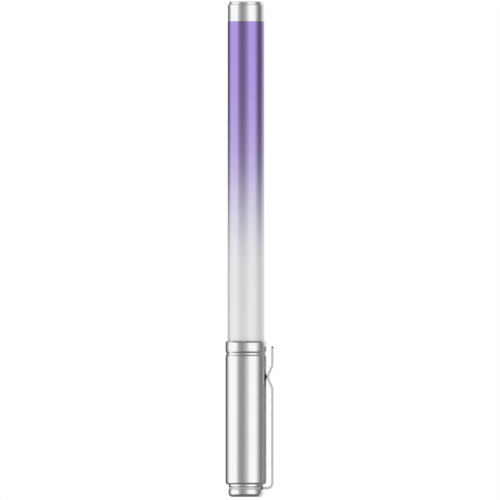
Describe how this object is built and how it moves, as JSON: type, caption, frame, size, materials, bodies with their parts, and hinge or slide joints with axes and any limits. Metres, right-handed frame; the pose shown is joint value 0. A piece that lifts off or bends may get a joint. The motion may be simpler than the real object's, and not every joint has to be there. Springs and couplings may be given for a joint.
{
  "type": "led light tube",
  "caption": "Slim pocket light wand: aluminium barrel that holds one cell, twist collar, long pearl diffuser tube with an end cap, and a spring pocket clip.",
  "frame": {"origin": "centre of the tail cap's flat end face, on the axis of the tube", "axes": "+Z along the tube, from the tail cap to the end cap; +X towards the pocket clip; +Y completes the right-handed frame"},
  "size_m": [0.0176, 0.015, 0.182],
  "materials": {
    "satin_aluminium": "fine turned satin",
    "pearl_diffuser": "satin pearl, violet at the top and white at the foot",
    "spring_steel": "fine brushed",
    "seal_rubber": "matt",
    "brass_contact": "satin",
    "spring_wire": "gold plated",
    "cell_steel": "nickel plated",
    "cell_wrap": "plain shrink wrap",
    "cell_core": "dull",
    "cell_seal": "moulded",
    "driver_circuit": "solder mask with tinned pads",
    "led_circuit": "white solder mask",
    "chip_black": "moulded",
    "led_package": "white package with a yellow phosphor",
    "white_nylon": "moulded",
    "lead_insulation": "silicone"
  },
  "bodies": {
    "tail": {"tail_cap": "satin_aluminium", "tail_o_ring": "seal_rubber", "contact_plate": "brass_contact", "contact_spring": "spring_wire"},
    "battery": {"cell_can": "cell_steel", "cell_core": "cell_core", "cell_seal": "cell_seal", "cell_tip": "cell_steel", "cell_wrap": "cell_wrap"},
    "barrel": {"barrel": "satin_aluminium", "clip_pad": "seal_rubber", "clip_ring": "spring_steel"},
    "clip": {"clip_arm": "spring_steel"},
    "head": {"head_collar": "satin_aluminium", "head_o_ring": "seal_rubber", "retaining_ring": "brass_contact", "polarity_guard": "white_nylon", "positive_contact": "brass_contact", "driver_board": "driver_circuit", "driver_parts": "chip_black", "power_leads": "lead_insulation", "lower_holder": "white_nylon", "led_board": "led_circuit", "front_leds": "led_package", "rear_leds": "led_package", "led_resistors": "chip_black", "upper_holder": "white_nylon", "end_reflector": "white_nylon", "diffuser_tube": "pearl_diffuser", "end_cap": "satin_aluminium", "end_cap_o_ring": "seal_rubber"}
  },
  "joints": [
    {"name": "barrel_rise", "type": "slide", "parent": "tail", "child": "battery", "axis": [0, 0, 1], "range_m": [0, 0.0045], "deforming": ["contact_spring"]},
    {"name": "barrel_unscrew", "type": "hinge", "parent": "battery", "child": "barrel", "pos_m": [0, 0, 0.005], "axis": [0, 0, 1], "range_deg": [0, 2165]},
    {"name": "head_twist", "type": "hinge", "parent": "barrel", "child": "head", "pos_m": [0, 0, 0.05], "axis": [0, 0, 1], "range_deg": [0, 90]},
    {"name": "clip_flex", "type": "hinge", "parent": "barrel", "child": "clip", "pos_m": [0.007, 0, 0.0028], "axis": [0, 1, 0], "range_deg": [0, 4], "stiffness_Nm_per_rad": 7.5}
  ],
  "couplings": [
    {"joint": "barrel_unscrew", "follows": "barrel_rise", "rad_per_m": 8377.6}
  ]
}
